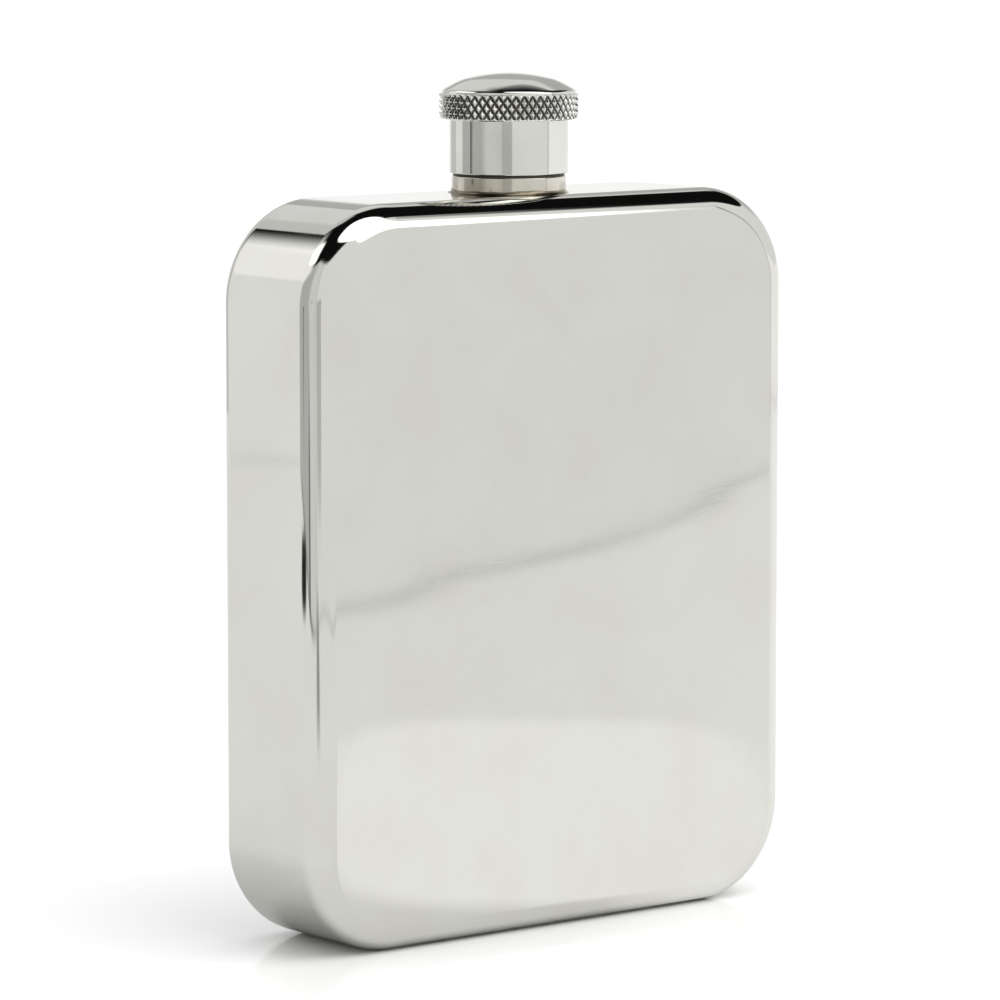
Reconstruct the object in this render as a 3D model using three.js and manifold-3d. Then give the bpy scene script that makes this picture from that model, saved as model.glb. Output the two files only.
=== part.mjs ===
// Hip flask: a flat, round-cornered metal pocket flask standing on its base, with a screwed cap.
// Millimetres, +Z up, width along X, front face towards -Y, origin at the centre of the base.
import * as THREE from "three";
import Module from "manifold-3d";
import { mergeVertices } from "three/addons/utils/BufferGeometryUtils.js";

const wasm = await Module();
wasm.setup();

// ---- driving dimensions -------------------------------------------------------------------
const WIDTH = 90.5;            // body, side to side
const DEPTH = 24.4;            // body, front to back
const HEIGHT = 110;            // body alone, base to flat top
const CORNER_R = 15.1;         // the outline's four corners
const EDGE_R = 4.3;            // rounding between each face and the side wall
const WALL = 1.0;              // sheet thickness
const CORNER_STEPS = 8;        // facets in a quarter of the outline
const EDGE_STEPS = 6;          // facets across the edge rounding

const SEAM_HALF = 1.3;         // solder bead inside the seam: half its width
const SEAM_RISE = 0.7;         // and how far it stands off the wall

const BORE_R = 5.4;            // neck bore
const NECK_R = 7.2;            // neck's plain shank
const CORE_R = 6.7;            // root of the neck thread
const CREST_R = 7.4;           // crest of the neck thread
const NECK_FOOT = 107.4;       // shank's end, inside the flask
const LIP_Z = 121.6;           // top of the neck
const PITCH = 2.0;             // thread pitch, right hand

const COLLAR_R = 8.6;
const COLLAR_TOP = 112.55;
const SOLDER_R = 9.45;         // foot of the solder fillet round the collar
const SOLDER_RISE = 0.62;

const SKIRT_R = 8.91;          // cap skirt
const SKIRT_IN = 8.05;
const SKIRT_Z = 112.95;        // lower edge of the closed cap
const RIM_R = 10.45;           // knurled rim
const RIM_Z = 120.95;
const RIM_TOP = 124.9;
const DOME_TOP = 127.9;
const DOME_R = 18.6;           // crown radius of the dome
const DOME_RIM_R = 10.0;
const KNURL_STARTS = 50;       // grooves each way round
const KNURL_ROWS = 4;          // half pitches up the band
const KNURL_DEEP = 0.3;

const BUSH_R = 8.0;            // threaded bush inside the cap
const BUSH_IN = 7.62;          // root of its thread
const BUSH_CREST = 6.95;       // crest of its thread
const BUSH_Z = 113.35;
const BUSH_CEIL = 123.2;
const BUSH_TOP = 124.2;
const SEAL_Z = 121.65;
const SEAL_R = 7.45;

// ---- materials ----------------------------------------------------------------------------
function metal(color, roughness) {
  return new THREE.MeshStandardMaterial({ color, roughness, metalness: 1 });
}

function plain(color, roughness) {
  return new THREE.MeshStandardMaterial({ color, roughness, metalness: 0 });
}

// ---- mesh helpers -------------------------------------------------------------------------
function meshOf(name, geometry, material) {
  const mesh = new THREE.Mesh(geometry, material);
  mesh.name = name;
  return mesh;
}

function geometryOf(points, triangles) {
  const geometry = new THREE.BufferGeometry();
  geometry.setAttribute("position", new THREE.Float32BufferAttribute(points.flat(), 3));
  geometry.setIndex(triangles.flat());
  geometry.computeVertexNormals();
  return geometry;
}

// Stitch closed loops of points into a skin; `wrap` joins the last loop back to the first.
function stitch(loops, wrap) {
  const count = loops[0].length;
  const points = loops.flat();
  const triangles = [];
  const last = wrap ? loops.length : loops.length - 1;
  for (let i = 0; i < last; i += 1) {
    const a = i * count;
    const b = ((i + 1) % loops.length) * count;
    for (let k = 0; k < count; k += 1) {
      const n = (k + 1) % count;
      triangles.push([a + k, a + n, b + n], [a + k, b + n, b + k]);
    }
  }
  return { points, triangles };
}

// Close the first and last loops of a skin with a fan about each loop's middle.
function capEnds(skin, count) {
  const { points, triangles } = skin;
  const ends = [[0, true], [points.length - count, false]];
  for (const [start, first] of ends) {
    const loop = points.slice(start, start + count);
    const middle = [0, 1, 2].map((c) => loop.reduce((sum, p) => sum + p[c], 0) / count);
    const hub = points.length;
    points.push(middle);
    for (let k = 0; k < count; k += 1) {
      const n = (k + 1) % count;
      triangles.push(first ? [hub, start + n, start + k] : [hub, start + k, start + n]);
    }
  }
  return skin;
}

// Turn a skin right side out, whichever way its loops happened to run.
function outward(skin) {
  const { points, triangles } = skin;
  let volume = 0;
  for (const [i, j, k] of triangles) {
    const [a, b, c] = [points[i], points[j], points[k]];
    volume += a[0] * (b[1] * c[2] - b[2] * c[1]);
    volume += a[1] * (b[2] * c[0] - b[0] * c[2]);
    volume += a[2] * (b[0] * c[1] - b[1] * c[0]);
  }
  const facing = volume < 0 ? triangles.map(([i, j, k]) => [i, k, j]) : triangles;
  return geometryOf(points, facing);
}

function lathe(profile, segments = 48) {
  const points = profile.map(([r, z]) => new THREE.Vector2(r, z));
  const geometry = new THREE.LatheGeometry(points, segments);
  geometry.rotateX(Math.PI / 2);
  return tidy(geometry);
}

// Merge a geometry's repeated vertices, drop flat triangles and face it outward.
function tidy(geometry) {
  const bare = geometry.clone();
  bare.deleteAttribute("normal");
  bare.deleteAttribute("uv");
  const merged = mergeVertices(bare, 1e-5);
  const at = merged.getAttribute("position");
  const index = Array.from(merged.index.array);
  const points = [];
  for (let i = 0; i < at.count; i += 1) points.push([at.getX(i), at.getY(i), at.getZ(i)]);
  const triangles = [];
  for (let i = 0; i < index.length; i += 3) {
    const [a, b, c] = index.slice(i, i + 3);
    if (a !== b && b !== c && a !== c) triangles.push([a, b, c]);
  }
  return outward({ points, triangles });
}

function toManifold(geometry) {
  const merged = mergeVertices(geometry.clone().deleteAttribute("normal"), 1e-5);
  const at = merged.getAttribute("position");
  return new wasm.Manifold(new wasm.Mesh({
    numProp: 3,
    vertProperties: Float32Array.from(at.array),
    triVerts: Uint32Array.from(merged.index.array),
  }));
}

function fromManifold(solid) {
  const mesh = solid.getMesh();
  const points = [];
  for (let i = 0; i < mesh.vertProperties.length; i += mesh.numProp) {
    points.push(Array.from(mesh.vertProperties.slice(i, i + 3)));
  }
  const triangles = [];
  for (let i = 0; i < mesh.triVerts.length; i += 3) {
    triangles.push(Array.from(mesh.triVerts.slice(i, i + 3)));
  }
  return geometryOf(points, triangles);
}

function minus(geometry, ...cutters) {
  let solid = toManifold(geometry);
  for (const cutter of cutters) solid = solid.subtract(toManifold(cutter));
  return fromManifold(solid);
}

function plus(geometry, ...others) {
  let solid = toManifold(geometry);
  for (const other of others) solid = solid.add(toManifold(other));
  return fromManifold(solid);
}

function column(radius, low, high, segments = 48) {
  const geometry = new THREE.CylinderGeometry(radius, radius, high - low, segments);
  geometry.rotateX(Math.PI / 2);
  geometry.translate(0, 0, (low + high) / 2);
  return tidy(geometry);
}

// ---- body ---------------------------------------------------------------------------------
// The flask's outline in the X-Z plane, moved inwards by `inset`, at depth y.
function outline(inset, y) {
  const r = CORNER_R - inset;
  const x = WIDTH / 2 - CORNER_R;
  const corners = [[x, HEIGHT - CORNER_R], [-x, HEIGHT - CORNER_R], [-x, CORNER_R], [x, CORNER_R]];
  const loop = [];
  corners.forEach(([cx, cz], quarter) => {
    for (let k = 0; k <= CORNER_STEPS; k += 1) {
      const angle = ((quarter + k / CORNER_STEPS) * Math.PI) / 2;
      loop.push([cx + r * Math.cos(angle), y, cz + r * Math.sin(angle)]);
    }
  });
  return loop;
}

// Loops over a side wall and its rounded edge, from the mid-plane to the face.
function pressing(inset, side) {
  const edge = EDGE_R - inset;
  const face = DEPTH / 2 - inset;
  const loops = [outline(inset, 0)];
  for (let k = 0; k <= EDGE_STEPS; k += 1) {
    const angle = (k / EDGE_STEPS) * (Math.PI / 2);
    const turn = inset + edge * (1 - Math.cos(angle));
    loops.push(outline(turn, side * (face - edge + edge * Math.sin(angle))));
  }
  return loops;
}

// One half of the body: a shallow pressed pan with half of the neck hole in its top edge.
function pan(side) {
  const skin = stitch([...pressing(WALL, side).reverse(), ...pressing(0, side)], false);
  capEnds(skin, outline(0, 0).length);
  return minus(outward(skin), column(NECK_R + 0.05, 104, 114));
}

// The whole body as one lump, `grow` bigger all round, for shaping what sits on it.
function bodyLump(grow) {
  const back = pressing(-grow, 1);
  const front = pressing(-grow, -1).slice(1).reverse();
  const skin = capEnds(stitch([...front, ...back], false), outline(0, 0).length);
  return outward(skin);
}

// The bead of solder that holds the two pans, inside along the seam.
function seamSolder() {
  const wall = WALL + 0.02;
  const loops = [
    outline(wall, -SEAM_HALF),
    outline(wall, SEAM_HALF),
    outline(wall + SEAM_RISE, 0),
  ];
  return minus(outward(stitch(loops, true)), column(NECK_R + 0.9, 104, 114));
}

// ---- threads ------------------------------------------------------------------------------
// A helical ridge between two radii; it fades into the wall at both ends.
function ridge(rootR, crestR, low, high, phase) {
  const perTurn = 24;
  const turns = (high - low) / PITCH;
  const steps = Math.round(turns * perTurn);
  const loops = [];
  for (let i = 0; i <= steps; i += 1) {
    const angle = (i / perTurn) * 2 * Math.PI + phase;
    const z = low + (i / perTurn) * PITCH;
    const fade = Math.min(1, i / 5, (steps - i) / 5);
    const tip = rootR + (crestR - rootR) * Math.max(fade, 0.12);
    const sunk = rootR - Math.sign(crestR - rootR) * 0.12;
    const section = [[sunk, -0.52], [tip, -0.24], [tip, 0.24], [sunk, 0.52]];
    loops.push(section.map(([r, dz]) => [r * Math.cos(angle), r * Math.sin(angle), z + dz]));
  }
  return outward(capEnds(stitch(loops, false), 4));
}

// ---- neck ---------------------------------------------------------------------------------
function neckSpout() {
  const tube = lathe([
    [BORE_R, NECK_FOOT],
    [NECK_R, NECK_FOOT],
    [NECK_R, 112.7],
    [CORE_R, 113.1],
    [CORE_R, LIP_Z - 0.35],
    [CORE_R - 0.35, LIP_Z],
    [BORE_R + 0.2, LIP_Z],
    [BORE_R, LIP_Z - 0.2],
    [BORE_R, NECK_FOOT],
  ]);
  return plus(tube, ridge(CORE_R, CREST_R, 114.2, 120.4, 0));
}

function neckCollar() {
  return lathe([
    [NECK_R + 0.05, HEIGHT],
    [COLLAR_R, HEIGHT],
    [COLLAR_R, COLLAR_TOP - 0.15],
    [COLLAR_R - 0.15, COLLAR_TOP],
    [NECK_R + 0.05, COLLAR_TOP],
    [NECK_R + 0.05, HEIGHT],
  ]);
}

// Solder run round the collar's foot, lying on the flat top and the edge rounding beside it.
function neckSolder() {
  const inner = COLLAR_R + 0.02;
  const ring = lathe([
    [inner, HEIGHT - 0.6],
    [SOLDER_R, HEIGHT - 0.6],
    [SOLDER_R, HEIGHT + 0.12],
    [inner + 0.3, HEIGHT + 0.24],
    [inner, HEIGHT + SOLDER_RISE],
    [inner, HEIGHT - 0.6],
  ]);
  return minus(ring, bodyLump(0.02));
}

// ---- cap ----------------------------------------------------------------------------------
function capSkirt() {
  return lathe([
    [SKIRT_IN, SKIRT_Z],
    [SKIRT_R - 0.12, SKIRT_Z],
    [SKIRT_R, SKIRT_Z + 0.12],
    [SKIRT_R, RIM_Z],
    [SKIRT_IN, RIM_Z],
    [SKIRT_IN, SKIRT_Z],
  ]);
}

// The rim: a plain ring whose outside is cut into rows of small four-sided points.
function capRim() {
  const columns = KNURL_STARTS * 2;
  const low = RIM_Z + 0.55;
  const high = RIM_TOP - 0.15;
  const ring = (r, z) => Array.from({ length: columns }, (unused, i) => {
    const angle = (i / columns) * 2 * Math.PI;
    return [r * Math.cos(angle), r * Math.sin(angle), z];
  });
  const loops = [ring(SKIRT_IN, RIM_Z), ring(RIM_R - 0.9, RIM_Z), ring(RIM_R - 0.42, RIM_Z + 0.2)];
  for (let row = 0; row <= KNURL_ROWS; row += 1) {
    const z = low + ((high - low) * row) / KNURL_ROWS;
    loops.push(ring(1, z).map(([x, y], i) => {
      const r = (i + row) % 2 ? RIM_R : RIM_R - KNURL_DEEP;
      return [x * r, y * r, z];
    }));
  }
  loops.push(ring(RIM_R - 0.42, RIM_TOP), ring(SKIRT_IN, RIM_TOP));
  const points = loops.flat();
  const triangles = [];
  loops.forEach((loop, a) => {
    const b = (a + 1) % loops.length;
    for (let k = 0; k < columns; k += 1) {
      const n = (k + 1) % columns;
      const [p, q, s, t] = [a * columns + k, a * columns + n, b * columns + n, b * columns + k];
      const even = (k + a - 3) % 2 === 0;
      triangles.push(...(even ? [[p, q, s], [p, s, t]] : [[p, q, t], [q, s, t]]));
    }
  });
  return outward({ points, triangles });
}

function domeZ(r) {
  return DOME_TOP - DOME_R + Math.sqrt(DOME_R * DOME_R - r * r);
}

// The crown: spun sheet, its edge standing on the rim.
function capDome() {
  const radii = [0, 2, 4, 6, 8, 9.2, DOME_RIM_R - 0.12];
  const outer = radii.map((r) => [r, domeZ(r)]);
  const inner = radii.map((r) => [r * 0.92, domeZ(r) - WALL]).filter(([, z]) => z > RIM_TOP + 0.05);
  return lathe([
    ...outer,
    [DOME_RIM_R, domeZ(DOME_RIM_R - 0.12) - 0.12],
    [DOME_RIM_R, RIM_TOP],
    [inner.at(-1)[0] + 0.3, RIM_TOP],
    ...inner.reverse(),
  ]);
}

// Threaded cup fixed inside the skirt and rim.
function capBush() {
  const cup = lathe([
    [0, BUSH_TOP],
    [BUSH_R, BUSH_TOP],
    [BUSH_R, BUSH_Z],
    [BUSH_IN, BUSH_Z],
    [BUSH_IN, BUSH_CEIL],
    [0, BUSH_CEIL],
  ]);
  return plus(cup, ridge(BUSH_IN, BUSH_CREST, 114.6, 120.6, Math.PI * (0.4 + 1)));
}

function capSeal() {
  return lathe([
    [0, SEAL_Z],
    [SEAL_R - 0.1, SEAL_Z],
    [SEAL_R, SEAL_Z + 0.1],
    [SEAL_R, BUSH_CEIL],
    [0, BUSH_CEIL],
  ], 36);
}

// ---- assembly -----------------------------------------------------------------------------
const flask = new THREE.Group();
flask.name = "hip_flask";
flask.add(
  meshOf("body_front_pan", pan(-1), metal("#d2d1ca", 0.1)),
  meshOf("body_back_pan", pan(1), metal("#d2d1cb", 0.1)),
  meshOf("body_seam_solder", seamSolder(), metal("#a3a29c", 0.45)),
  meshOf("neck_spout", neckSpout(), metal("#c4c3bb", 0.25)),
  meshOf("neck_collar", neckCollar(), metal("#cfcec6", 0.14)),
  meshOf("neck_solder_fillet", neckSolder(), metal("#b9b5a2", 0.3)),
  meshOf("cap_skirt", capSkirt(), metal("#d0cfc7", 0.12)),
  meshOf("cap_knurled_rim", capRim(), metal("#cbcac2", 0.2)),
  meshOf("cap_dome", capDome(), metal("#d3d2ca", 0.1)),
  meshOf("cap_thread_bush", capBush(), metal("#b5a46c", 0.35)),
  meshOf("cap_seal", capSeal(), plain("#d9d4c4", 0.7)),
);

export default flask;
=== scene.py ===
"""A polished pewter hip flask with a screwed cap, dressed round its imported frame.

The body is two pressed shells soldered together, the neck a threaded tube in a collar, and the
cap a skirt, a knurled rim and a domed crown round a threaded bush and a liner.
"""

import logging
import math
from dataclasses import dataclass, field
from enum import Enum
from functools import reduce
from typing import Sequence

import bmesh
import bpy
from bpy.types import Material, Mesh, Node, NodeSocket as Socket, NodeTree as Tree, Object
from mathutils import Matrix, Vector


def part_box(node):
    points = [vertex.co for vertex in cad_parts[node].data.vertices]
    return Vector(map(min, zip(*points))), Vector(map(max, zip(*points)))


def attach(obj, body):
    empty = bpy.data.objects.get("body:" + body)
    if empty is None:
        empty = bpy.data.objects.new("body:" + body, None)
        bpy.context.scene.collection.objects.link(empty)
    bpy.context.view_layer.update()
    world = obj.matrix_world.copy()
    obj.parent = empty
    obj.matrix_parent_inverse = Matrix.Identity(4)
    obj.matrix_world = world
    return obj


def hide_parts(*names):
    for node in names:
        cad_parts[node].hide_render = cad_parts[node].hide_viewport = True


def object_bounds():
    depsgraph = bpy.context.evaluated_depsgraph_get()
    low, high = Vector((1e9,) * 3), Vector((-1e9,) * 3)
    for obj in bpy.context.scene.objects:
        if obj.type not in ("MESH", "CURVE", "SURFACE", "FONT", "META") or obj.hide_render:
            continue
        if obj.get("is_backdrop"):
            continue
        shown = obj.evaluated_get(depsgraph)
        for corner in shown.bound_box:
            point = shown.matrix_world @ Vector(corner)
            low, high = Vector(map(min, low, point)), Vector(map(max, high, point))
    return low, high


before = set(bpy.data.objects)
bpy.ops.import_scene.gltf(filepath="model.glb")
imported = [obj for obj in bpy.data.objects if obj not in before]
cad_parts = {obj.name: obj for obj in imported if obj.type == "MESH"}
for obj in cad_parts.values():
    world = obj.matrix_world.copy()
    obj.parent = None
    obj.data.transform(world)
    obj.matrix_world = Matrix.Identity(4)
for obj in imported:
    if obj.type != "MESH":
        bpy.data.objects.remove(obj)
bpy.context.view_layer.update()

MM = 0.001
MICRON = 1e-6
EDGE_HOLD = 0.05 * MM
FULL_TURN = 2 * math.pi
GROOVE = "groove"
KNURL_FLAT = 0.86
log = logging.getLogger("hip_flask")

Ports = bpy.types.bpy_prop_collection
Point = tuple[float, float, float]
Colour = tuple[float, float, float]
Loop = list[Point]
Section = list[tuple[float, float]]
Value = Node | Socket | float | tuple


class Body(str, Enum):
    """The rigid bodies that pieces ride on."""

    FLASK = "flask"
    LINER = "cap_seal_body"
    CAP = "cap"


class Coordinates(Enum):
    """How a studio panel's place is given."""

    ROUND = "azimuth and elevation in degrees"
    OVERHEAD = "right and front, per unit of height"
    FLOOR = "metres from the neck's axis"


# ---- node trees ----


@dataclass
class Canvas:
    """Adds nodes to one tree and joins them, so that a tree reads as a few lines."""

    tree: Tree

    def add(self, kind: str, inputs: dict[str | int, Value] | None = None, **settings: object) -> Node:
        """Adds a node.

        Args:
            kind: The node's type name.
            inputs: A value, a socket or a node for each named or numbered input.
            **settings: The node's own properties.

        Returns:
            The new node.
        """
        node = self.tree.nodes.new(kind)
        for name, value in settings.items():
            setattr(node, name, value)
        for name, value in (inputs or {}).items():
            value = value.outputs[0] if isinstance(value, Node) else value
            if isinstance(value, Socket):
                self.tree.links.new(value, node.inputs[name])
            else:
                node.inputs[name].default_value = value
        return node

    def math(self, operation: str, *values: Value) -> Socket:
        """Returns the result of a Math node over one, two or three values."""
        return self.add("ShaderNodeMath", dict(enumerate(values)), operation=operation).outputs[0]

    def total(self, *values: Value) -> Socket:
        """Returns the sum of several values."""
        return reduce(lambda first, second: self.math("ADD", first, second), values)

    def times(self, *values: Value) -> Socket:
        """Returns the product of several values."""
        return reduce(lambda first, second: self.math("MULTIPLY", first, second), values)

    def minus(self, first: Value, second: Value) -> Socket:
        """Returns the first value less the second."""
        return self.math("SUBTRACT", first, second)

    def hypot(self, x: Value, y: Value) -> Socket:
        """Returns the length of (x, y)."""
        return self.math("SQRT", self.total(self.times(x, x), self.times(y, y)))

    def vector(self, operation: str, inputs: dict[str | int, Value]) -> Socket:
        """Returns the result of a Vector Math node."""
        return self.add("ShaderNodeVectorMath", inputs, operation=operation).outputs[0]

    def ramp(self, value: Value, low: Value, high: Value, start: float = 0.0,
             end: float = 1.0) -> Socket:
        """Returns a smooth step from start to end as value goes from low to high."""
        inputs = {"Value": value, "From Min": low, "From Max": high, "To Min": start, "To Max": end}
        return self.add("ShaderNodeMapRange", inputs, interpolation_type="SMOOTHSTEP").outputs[0]

    def mix(self, factor: Value, first: Value, second: Value) -> Socket:
        """Returns a colour between two colours."""
        return self.add("ShaderNodeMix", {0: factor, 6: first, 7: second}, data_type="RGBA").outputs[2]

    def split(self, vector: Value) -> tuple[Socket, ...]:
        """Returns a vector's three parts."""
        return tuple(self.add("ShaderNodeSeparateXYZ", {0: vector}).outputs)

    def join(self, x: Value, y: Value, z: Value) -> Socket:
        """Returns the vector of three parts."""
        return self.add("ShaderNodeCombineXYZ", {0: x, 1: y, 2: z}).outputs[0]

    def noise(self, vector: Value, scale: Value, detail: float = 2.0, rough: float = 0.5) -> Socket:
        """Returns a noise pattern's value."""
        inputs = {"Vector": vector, "Scale": scale, "Detail": detail, "Roughness": rough}
        return self.add("ShaderNodeTexNoise", inputs).outputs[0]

    def place(self) -> Socket:
        """Returns the point in the flask's own coordinates."""
        return self.add("ShaderNodeTexCoord").outputs["Object"]

    def end(self, factor: Value, first: Node, second: Node, kind: str = "Material") -> None:
        """Ends a material's or a world's tree with a mix of two shaders."""
        shown = self.add("ShaderNodeMixShader", {0: factor, 1: first, 2: second})
        self.add("ShaderNodeOutput" + kind, {"Surface": shown})


SOCKET_KINDS = {label: "NodeSocket" + label for label in ("Vector", "Geometry", "Material")}


def new_group(name: str, kind: str, inputs: Sequence[str],
              outputs: Sequence[str]) -> tuple[Canvas, Ports]:
    """Starts a node group with named sockets.

    Args:
        name: The group's name.
        kind: ShaderNodeTree or GeometryNodeTree.
        inputs: The inputs' names. Each is a number unless SOCKET_KINDS says otherwise.
        outputs: The outputs' names.

    Returns:
        A canvas on the new group, and its inputs.
    """
    tree = bpy.data.node_groups.new(name, kind)
    for way, labels in (("INPUT", inputs), ("OUTPUT", outputs)):
        for label in labels:
            socket_type = SOCKET_KINDS.get(label, "NodeSocketFloat")
            tree.interface.new_socket(label, in_out=way, socket_type=socket_type)
    c = Canvas(tree)
    return c, c.add("NodeGroupInput").outputs


def new_material(name: str, bare: bool = False) -> tuple[Material, Canvas]:
    """Starts a material.

    Args:
        name: The material's name.
        bare: Leaves out the Principled shader and the output.

    Returns:
        The material, and a canvas on its tree.
    """
    made = bpy.data.materials.new(name)
    made.use_nodes = True
    if bare:
        made.node_tree.nodes.clear()
    return made, Canvas(made.node_tree)


def grey(light: float) -> tuple[float, ...]:
    """Returns a neutral colour."""
    return (light, light, light, 1.0)


# ---- finishes ----

SCRATCH_RUNS = (
    (0.35, (38.0, 38.0, 1500.0)), (1.9, (1300.0, 60.0, 45.0)), (0.9, (70.0, 900.0, 1300.0)))
PEWTER = (0.79, 0.785, 0.74)
PEWTER_SHADE = (0.73, 0.722, 0.665)
OLD_POLISH = (0.045, 0.042, 0.036, 1.0)


def polish_marks() -> Tree:
    """Builds the group for what years of polishing and handling leave on soft metal.

    Returns:
        A shader group giving Roughness, Height in metres and a Tone that darkens the colour.
    """
    c, given = new_group("polish_marks", "ShaderNodeTree", (
        "Vector", "Roughness", "Haze", "Ripple", "Ripple Scale", "Pit Scale", "Pit Depth", "Scratch",
    ), ("Roughness", "Height", "Tone"))
    place = given["Vector"]
    ripple = c.times(c.minus(c.noise(place, given["Ripple Scale"], 1.0), 0.5), given["Ripple"])

    flat = c.vector("MULTIPLY", {0: place, 1: (1.0, 0.35, 1.0)})
    cells = c.add("ShaderNodeTexVoronoi", {"Vector": flat, "Scale": given["Pit Scale"]})
    chance, size, _ = c.split(cells.outputs["Color"])
    wide = c.math("MULTIPLY_ADD", size, 0.034, 0.012)
    pit = c.ramp(cells.outputs["Distance"], 0.0, wide, 1.0, 0.0)
    pit = c.times(pit, c.math("GREATER_THAN", chance, 0.62))

    wander = c.add("ShaderNodeTexNoise", {"Vector": place, "Scale": 24.0, "Detail": 1.0})
    sway = c.vector("SCALE", {0: wander.outputs["Color"], "Scale": 0.012})
    bent = c.vector("ADD", {0: place, 1: sway})
    scratches = []
    for turn, stretch in SCRATCH_RUNS:
        spun = c.add("ShaderNodeMapping", {
            "Vector": bent, "Rotation": (turn, turn * 0.7, turn), "Scale": stretch})
        streak = c.minus(c.noise(spun, 1.0, 0.0), 0.5)
        scratches.append(c.ramp(c.math("ABSOLUTE", streak), 0.0, 0.012, 1.0, 0.0))
    scratch = c.times(c.total(*scratches), c.ramp(c.noise(place, 35.0, 3.0), 0.5, 0.68))

    cloud = c.math("MAXIMUM", c.minus(c.noise(place, 55.0, 5.0, 0.6), 0.42), 0.0)
    cut = c.total(c.times(pit, given["Pit Depth"]), c.times(scratch, given["Scratch"]))
    c.add("NodeGroupOutput", {
        "Roughness": c.total(given["Roughness"], c.times(cloud, given["Haze"]), c.times(pit, 0.3),
                             c.times(scratch, 0.04)),
        "Height": c.minus(ripple, cut),
        "Tone": c.minus(1.0, c.times(pit, 0.55)),
    })
    return c.tree


def turning_lines() -> Tree:
    """Builds the group for the fine rings that a lathe tool leaves round the neck's axis.

    Returns:
        A shader group giving a Height in metres and a Mask of the rings.
    """
    c, given = new_group(
        "turning_lines", "ShaderNodeTree", ("Vector", "Depth", "Rings"), ("Height", "Mask"))
    x, y, z = c.split(given["Vector"])
    ring = c.join(c.times(c.hypot(x, y), given["Rings"]), 0.0, c.times(z, given["Rings"]))
    lines = c.noise(ring, 1.0, 2.0, 0.7)
    c.add("NodeGroupOutput", {"Height": c.times(lines, given["Depth"]), "Mask": lines})
    return c.tree


@dataclass(frozen=True)
class MetalFinish:
    """A soft metal's surface, from mirror polish to a dull cast. Its reliefs are in microns."""

    name: str
    colour: Colour
    shade: Colour
    roughness: float
    haze: float
    ripple: float = 0.0
    ripple_scale: float = 20.0
    pit_scale: float = 150.0
    pit_depth: float = 0.0
    scratch: float = 0.0
    rings: float = 0.0
    stain: float = 0.35
    patina: float = 0.0

    def material(self, groups: dict[str, Tree]) -> Material:
        """Makes the material from the shared shader groups.

        Args:
            groups: The groups by name.

        Returns:
            The finished material.
        """
        made, c = new_material(self.name)
        place = c.place()
        marks = c.add("ShaderNodeGroup", node_tree=groups["marks"], inputs={
            "Vector": place, "Roughness": self.roughness, "Haze": self.haze,
            "Ripple": self.ripple * MICRON, "Ripple Scale": self.ripple_scale,
            "Pit Scale": self.pit_scale, "Pit Depth": self.pit_depth * MICRON,
            "Scratch": self.scratch * MICRON}).outputs
        height, roughness = marks["Height"], marks["Roughness"]
        if self.rings:
            lines = c.add("ShaderNodeGroup", node_tree=groups["lines"], inputs={
                "Vector": place, "Depth": self.rings * MICRON, "Rings": 9000.0})
            height = c.total(height, lines.outputs["Height"])
        stain = c.times(c.ramp(c.noise(place, 70.0, 4.0, 0.6), 0.35, 0.75), self.stain)
        tone = c.mix(stain, (*self.colour, 1), (*self.shade, 1))
        tone = c.mix(marks["Tone"], (*(0.4 * part for part in self.shade), 1), tone)
        if self.patina:
            groove = c.add("ShaderNodeAttribute", attribute_name=GROOVE).outputs["Fac"]
            grime = c.times(c.ramp(groove, 0.35, 0.8), self.patina)
            tone = c.mix(grime, tone, OLD_POLISH)
            roughness = c.math("MULTIPLY_ADD", grime, 0.4, roughness)
        dress_shader(c, tone, roughness, height, "Metallic", 1.0)
        return made


def dress_shader(c: Canvas, tone: Socket, roughness: Socket, height: Socket, label: str,
                 share: float) -> None:
    """Feeds a material's Principled shader.

    Args:
        c: The material's canvas.
        tone: The base colour.
        roughness: The roughness.
        height: The relief in metres.
        label: One more input, which is the same all over.
        share: Its value.
    """
    inputs = c.tree.nodes["Principled BSDF"].inputs
    bump = c.add("ShaderNodeBump", {"Strength": 1.0, "Distance": 1.0, "Height": height})
    for name, socket in (("Base Color", tone), ("Roughness", roughness), ("Normal", bump.outputs[0])):
        c.tree.links.new(socket, inputs[name])
    inputs[label].default_value = share


@dataclass(frozen=True)
class LinerFinish:
    """The soft white plastic of the cap's liner, a little soiled and creased."""

    name: str = "liner_plastic"
    colour: Colour = (0.8, 0.77, 0.69)
    stained: Colour = (0.55, 0.47, 0.34)

    def material(self, groups: dict[str, Tree]) -> Material:
        """Makes the material from the shared shader groups.

        Args:
            groups: The groups by name.

        Returns:
            The finished material.
        """
        made, c = new_material(self.name)
        place = c.place()
        lines = c.add("ShaderNodeGroup", node_tree=groups["lines"], inputs={
            "Vector": place, "Rings": 1500.0, "Depth": 20 * MICRON}).outputs
        spots = c.ramp(c.noise(place, 420.0, 4.0, 0.65), 0.5, 0.8)
        tone = c.mix(spots, (*self.colour, 1), (*self.stained, 1))
        roughness = c.ramp(lines["Mask"], 0.2, 0.8, 0.45, 0.7)
        dress_shader(c, tone, roughness, lines["Height"], "Subsurface Weight", 0.15)
        return made


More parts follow.
